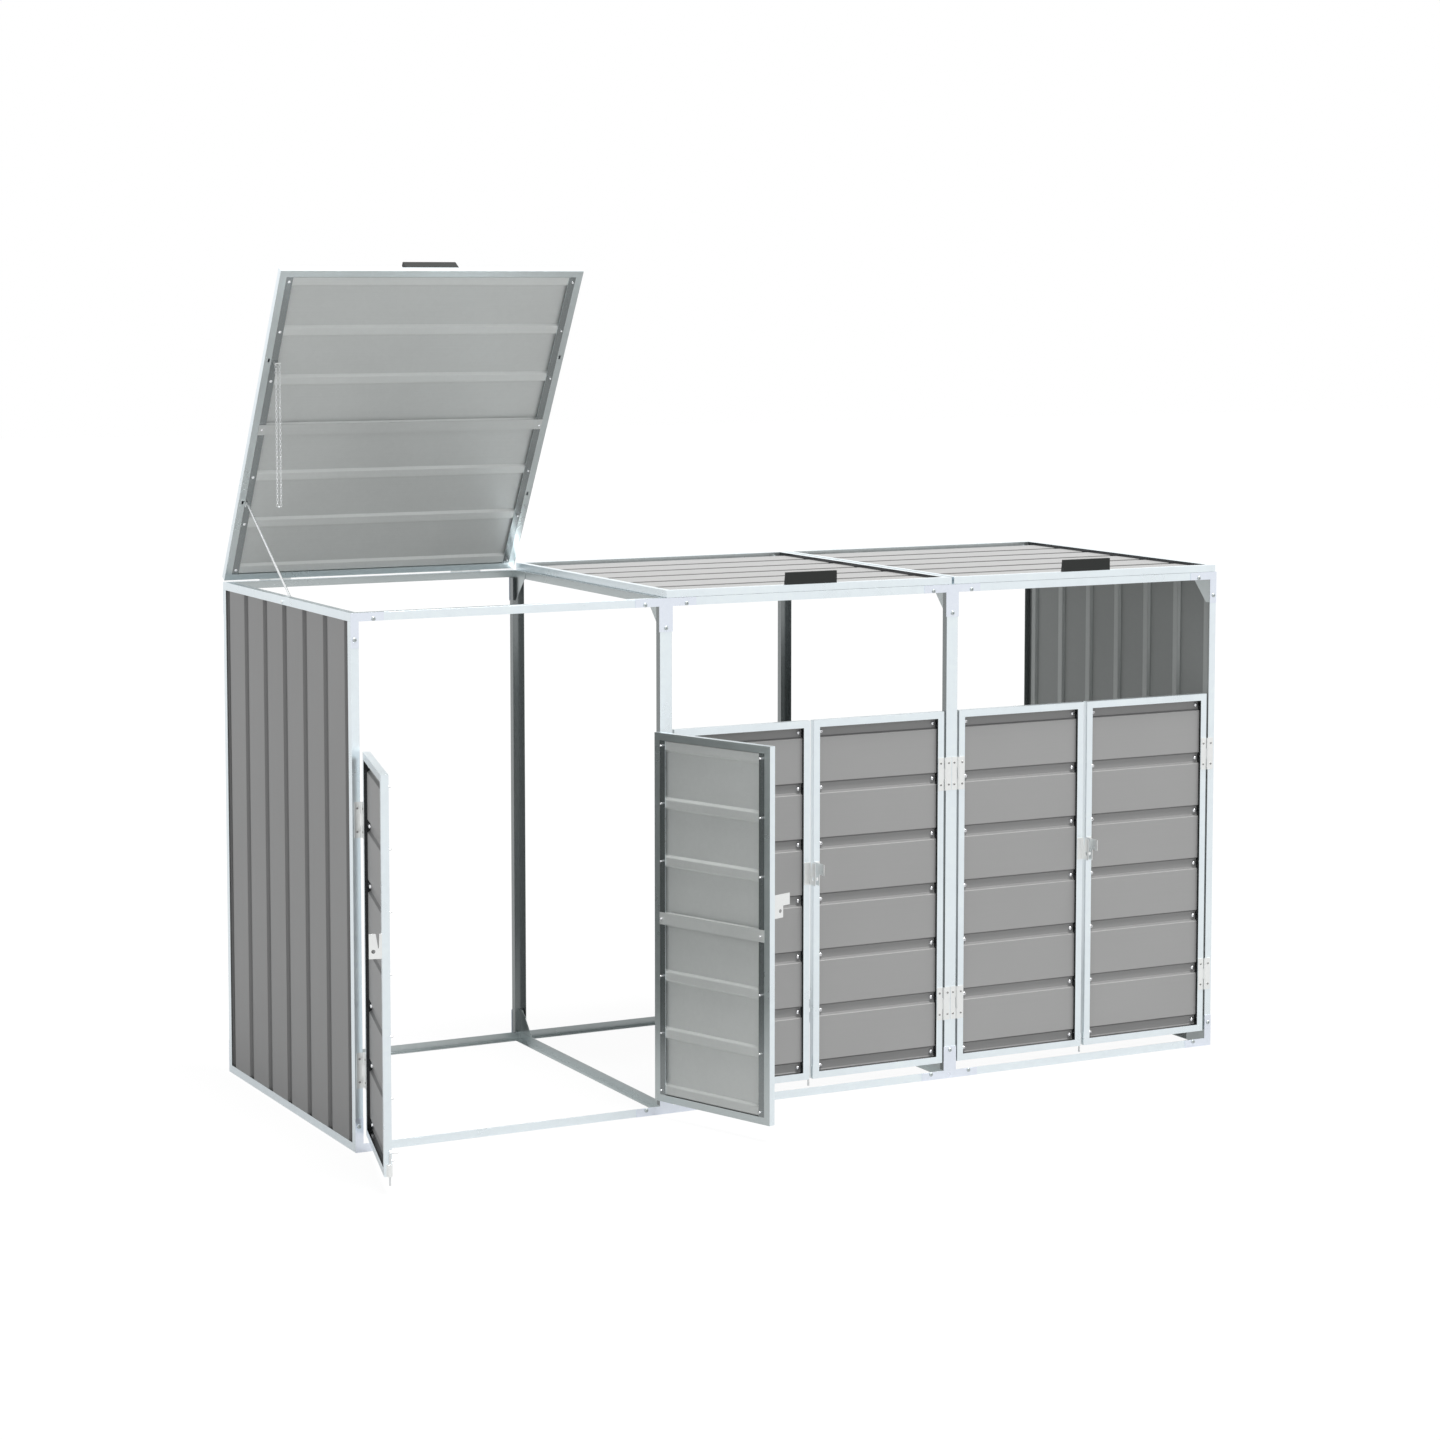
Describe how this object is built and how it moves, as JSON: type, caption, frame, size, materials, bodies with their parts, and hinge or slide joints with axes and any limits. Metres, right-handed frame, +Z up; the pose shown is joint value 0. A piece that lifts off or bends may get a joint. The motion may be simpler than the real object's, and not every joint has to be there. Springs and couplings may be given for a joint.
{
  "type": "wheelie bin store",
  "caption": "Galvanised steel store of three bays in a row, with ribbed sides, pairs of front doors, hinged lids on prop rods, padlock hasps and drop bolts.",
  "frame": {"origin": "on the ground, on the underside of the front bottom rail at its middle", "axes": "+X to the right as seen from the front, +Y from the doors towards the back, +Z up"},
  "size_m": [2.1561, 1.1149, 1.7714],
  "materials": {
    "galvanised_frame": "galvanised, dull, with a soft sheen",
    "galvanised_sheet": "galvanised, matt, with faint rolling marks",
    "zinc_wire": "bright zinc",
    "handle_plastic": "fine grained, dark grey"
  },
  "bodies": {
    "frame": {"back_post_left": "galvanised_frame", "back_post_mid_1": "galvanised_frame", "back_post_mid_2": "galvanised_frame", "back_post_right": "galvanised_frame", "back_rail_bottom": "galvanised_frame", "back_rail_top": "galvanised_frame", "corner_gussets": "galvanised_frame", "corner_plates": "galvanised_frame", "corner_screws": "galvanised_frame", "divider_rails_bottom": "galvanised_frame", "divider_rails_top": "galvanised_frame", "door_hinge_leaves": "galvanised_frame", "front_post_left": "galvanised_frame", "front_post_mid_1": "galvanised_frame", "front_post_mid_2": "galvanised_frame", "front_post_right": "galvanised_frame", "front_rail_bottom": "galvanised_frame", "front_rail_top": "galvanised_frame", "lid_hinge_leaves": "galvanised_frame", "prop_seats": "galvanised_frame", "side_panel_left": "galvanised_sheet", "side_panel_right": "galvanised_sheet", "side_rails": "galvanised_frame"},
    "door_1_left": {"door_1_left_frame": "galvanised_frame", "door_1_left_panel": "galvanised_sheet", "door_1_left_fittings": "galvanised_frame"},
    "door_1_right": {"door_1_right_frame": "galvanised_frame", "door_1_right_panel": "galvanised_sheet", "door_1_right_fittings": "galvanised_frame"},
    "lid_1": {"lid_1_frame": "galvanised_frame", "lid_1_panel": "galvanised_sheet", "lid_1_handle": "handle_plastic", "lid_1_fittings": "galvanised_frame"},
    "drop_bolt_1": {"drop_bolt_1": "zinc_wire"},
    "prop_rod_1": {"prop_rod_1": "zinc_wire"},
    "door_2_left": {"door_2_left_frame": "galvanised_frame", "door_2_left_panel": "galvanised_sheet", "door_2_left_fittings": "galvanised_frame"},
    "door_2_right": {"door_2_right_frame": "galvanised_frame", "door_2_right_panel": "galvanised_sheet", "door_2_right_fittings": "galvanised_frame"},
    "lid_2": {"lid_2_frame": "galvanised_frame", "lid_2_panel": "galvanised_sheet", "lid_2_handle": "handle_plastic", "lid_2_fittings": "galvanised_frame"},
    "drop_bolt_2": {"drop_bolt_2": "zinc_wire"},
    "prop_rod_2": {"prop_rod_2": "zinc_wire"},
    "door_3_left": {"door_3_left_frame": "galvanised_frame", "door_3_left_panel": "galvanised_sheet", "door_3_left_fittings": "galvanised_frame"},
    "door_3_right": {"door_3_right_frame": "galvanised_frame", "door_3_right_panel": "galvanised_sheet", "door_3_right_fittings": "galvanised_frame"},
    "lid_3": {"lid_3_frame": "galvanised_frame", "lid_3_panel": "galvanised_sheet", "lid_3_handle": "handle_plastic", "lid_3_fittings": "galvanised_frame"},
    "drop_bolt_3": {"drop_bolt_3": "zinc_wire"},
    "prop_rod_3": {"prop_rod_3": "zinc_wire"},
    "lift_chain": {"lift_chain": "zinc_wire"}
  },
  "joints": [
    {"name": "door_1_left_hinge", "type": "hinge", "parent": "frame", "child": "door_1_left", "pos_m": [-1.0155, -0.0107, 0.418], "axis": [0, 0, 1], "range_deg": [0, 105]},
    {"name": "door_1_right_hinge", "type": "hinge", "parent": "frame", "child": "door_1_right", "pos_m": [-0.3605, -0.0107, 0.418], "axis": [0, 0, 1], "range_deg": [-110, 0]},
    {"name": "drop_bolt_1_slide", "type": "slide", "parent": "door_1_left", "child": "drop_bolt_1", "axis": [0, 0, -1], "range_m": [0, 0.0155]},
    {"name": "lid_1_hinge", "type": "hinge", "parent": "frame", "child": "lid_1", "pos_m": [-0.69, 0.7662, 1.0812], "axis": [-1, 0, 0], "range_deg": [-60, 0]},
    {"name": "prop_rod_1_pivot", "type": "hinge", "parent": "lid_1", "child": "prop_rod_1", "pos_m": [-1.013, 0.65998, 1.25659], "axis": [1, 0, 0], "range_deg": [-94.5, 0]},
    {"name": "door_2_left_hinge", "type": "hinge", "parent": "frame", "child": "door_2_left", "pos_m": [-0.3275, -0.0107, 0.418], "axis": [0, 0, 1], "range_deg": [-60, 0]},
    {"name": "door_2_right_hinge", "type": "hinge", "parent": "frame", "child": "door_2_right", "pos_m": [0.3275, -0.0107, 0.418], "axis": [0, 0, 1], "range_deg": [0, 105]},
    {"name": "drop_bolt_2_slide", "type": "slide", "parent": "door_2_left", "child": "drop_bolt_2", "axis": [0, 0, -1], "range_m": [0, 0.0155]},
    {"name": "lid_2_hinge", "type": "hinge", "parent": "frame", "child": "lid_2", "pos_m": [0, 0.7662, 1.0812], "axis": [-1, 0, 0], "range_deg": [0, 60]},
    {"name": "prop_rod_2_pivot", "type": "hinge", "parent": "lid_2", "child": "prop_rod_2", "pos_m": [-0.323, 0.5612, 1.0769], "axis": [1, 0, 0], "range_deg": [0, 94.5]},
    {"name": "door_3_left_hinge", "type": "hinge", "parent": "frame", "child": "door_3_left", "pos_m": [0.3605, -0.0107, 0.418], "axis": [0, 0, 1], "range_deg": [-105, 0]},
    {"name": "door_3_right_hinge", "type": "hinge", "parent": "frame", "child": "door_3_right", "pos_m": [1.0155, -0.0107, 0.418], "axis": [0, 0, 1], "range_deg": [0, 105]},
    {"name": "drop_bolt_3_slide", "type": "slide", "parent": "door_3_left", "child": "drop_bolt_3", "axis": [0, 0, -1], "range_m": [0, 0.0155]},
    {"name": "lid_3_hinge", "type": "hinge", "parent": "frame", "child": "lid_3", "pos_m": [0.69, 0.7662, 1.0812], "axis": [-1, 0, 0], "range_deg": [0, 60]},
    {"name": "prop_rod_3_pivot", "type": "hinge", "parent": "lid_3", "child": "prop_rod_3", "pos_m": [0.367, 0.5612, 1.0769], "axis": [1, 0, 0], "range_deg": [0, 94.5]},
    {"name": "lift_chain_hook", "type": "hinge", "parent": "lid_1", "child": "lift_chain", "pos_m": [-1.004, 0.48361, 1.56006], "axis": [1, 0, 0], "range_deg": [-60.1, 0]}
  ],
  "couplings": [
    {"joint": "prop_rod_1_pivot", "follows": "lid_1_hinge", "ratio": 1.5734},
    {"joint": "prop_rod_2_pivot", "follows": "lid_2_hinge", "ratio": 1.5734},
    {"joint": "prop_rod_3_pivot", "follows": "lid_3_hinge", "ratio": 1.5734},
    {"joint": "lift_chain_hook", "follows": "lid_1_hinge", "ratio": 1}
  ]
}
